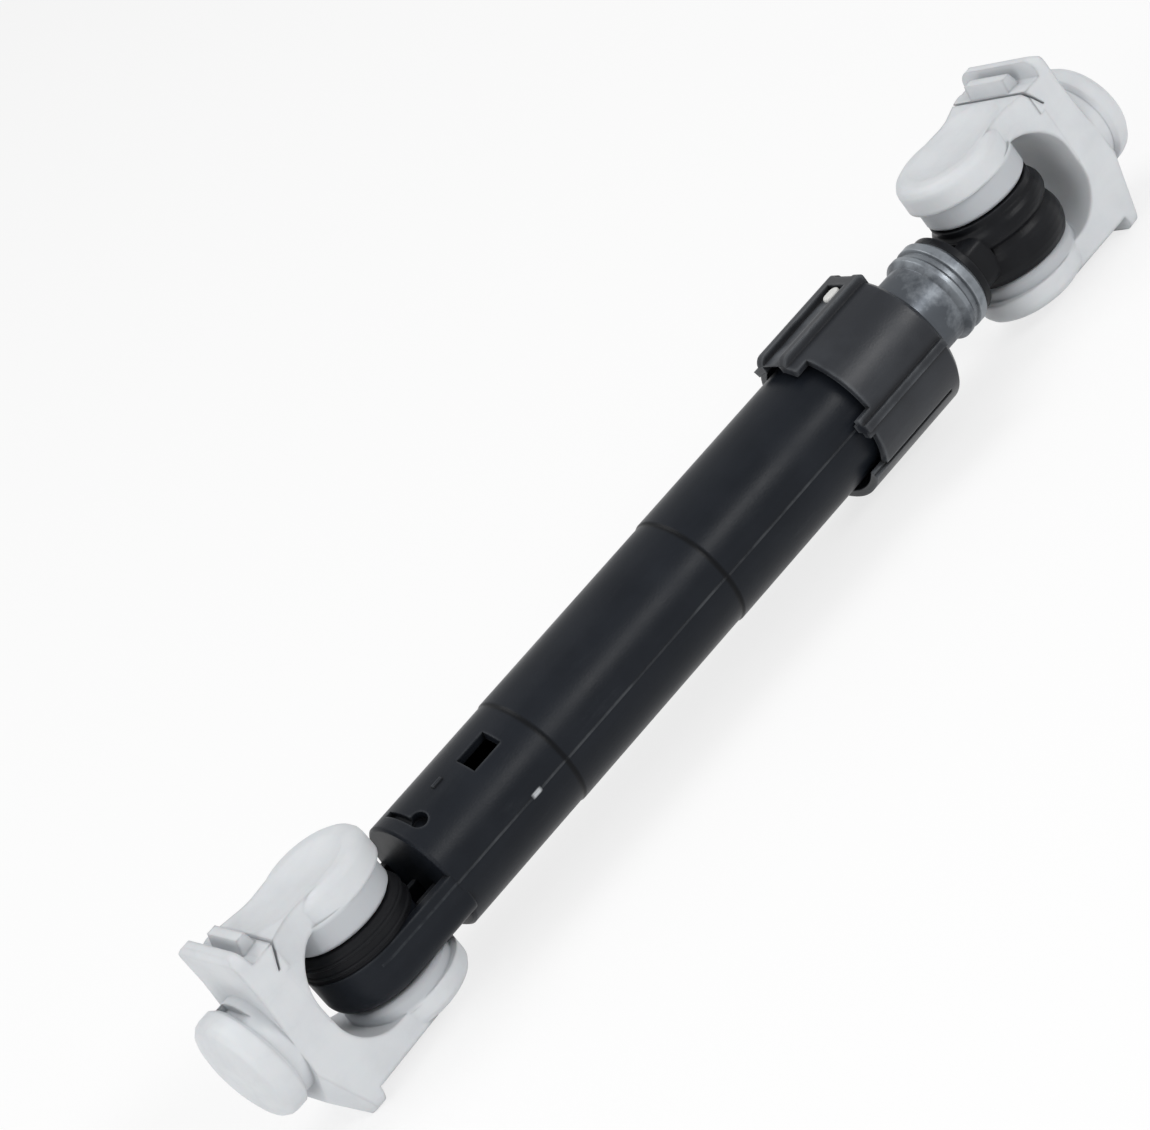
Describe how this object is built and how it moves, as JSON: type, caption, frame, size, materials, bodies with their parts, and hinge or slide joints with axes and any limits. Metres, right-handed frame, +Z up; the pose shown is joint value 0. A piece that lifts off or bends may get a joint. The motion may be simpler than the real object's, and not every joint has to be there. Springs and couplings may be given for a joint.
{
  "type": "washing machine shock absorber",
  "caption": "Friction damper: a steel rod slides in a charcoal moulded housing, and an off-white clip with a round head pivots on the eye at each end.",
  "frame": {"origin": "on the floor, under the middle of the whole damper's box", "axes": "+X from the housing's eye to the rod's eye, +Z up along the clip pins"},
  "size_m": [0.2552, 0.033, 0.0402],
  "materials": {
    "moulding": "satin glass-filled nylon, charcoal",
    "eye": "satin moulded nylon, near black",
    "inner_plastic": "plain acetal, natural",
    "lining": "greased foam strip",
    "steel": "zinc plated, smooth",
    "rubber": "plain moulded rubber",
    "clip": "satin natural nylon"
  },
  "bodies": {
    "housing": {"housing": "moulding", "head_cap": "moulding", "guide_bush": "inner_plastic", "friction_lining": "lining", "housing_bush": "rubber"},
    "stop_ring": {"stop_ring": "inner_plastic"},
    "rod": {"rod_tube": "steel", "rod_eye": "eye", "rod_bush": "rubber"},
    "rod_clip": {"rod_clip": "clip"},
    "housing_clip": {"housing_clip": "clip"}
  },
  "joints": [
    {"name": "rod_slide", "type": "slide", "parent": "housing", "child": "stop_ring", "axis": [1, 0, 0], "range_m": [-0.0085, 0.077]},
    {"name": "rod_turn", "type": "hinge", "parent": "stop_ring", "child": "rod", "pos_m": [0.00586, 0, 0.0188], "axis": [1, 0, 0], "continuous": true},
    {"name": "rod_clip_pivot", "type": "hinge", "parent": "rod", "child": "rod_clip", "pos_m": [0.09386, 0, 0.0188], "axis": [0, 0, 1], "range_deg": [-60, 60]},
    {"name": "housing_clip_pivot", "type": "hinge", "parent": "housing", "child": "housing_clip", "pos_m": [-0.09414, 0, 0.0188], "axis": [0, 0, 1], "range_deg": [-60, 60]}
  ]
}
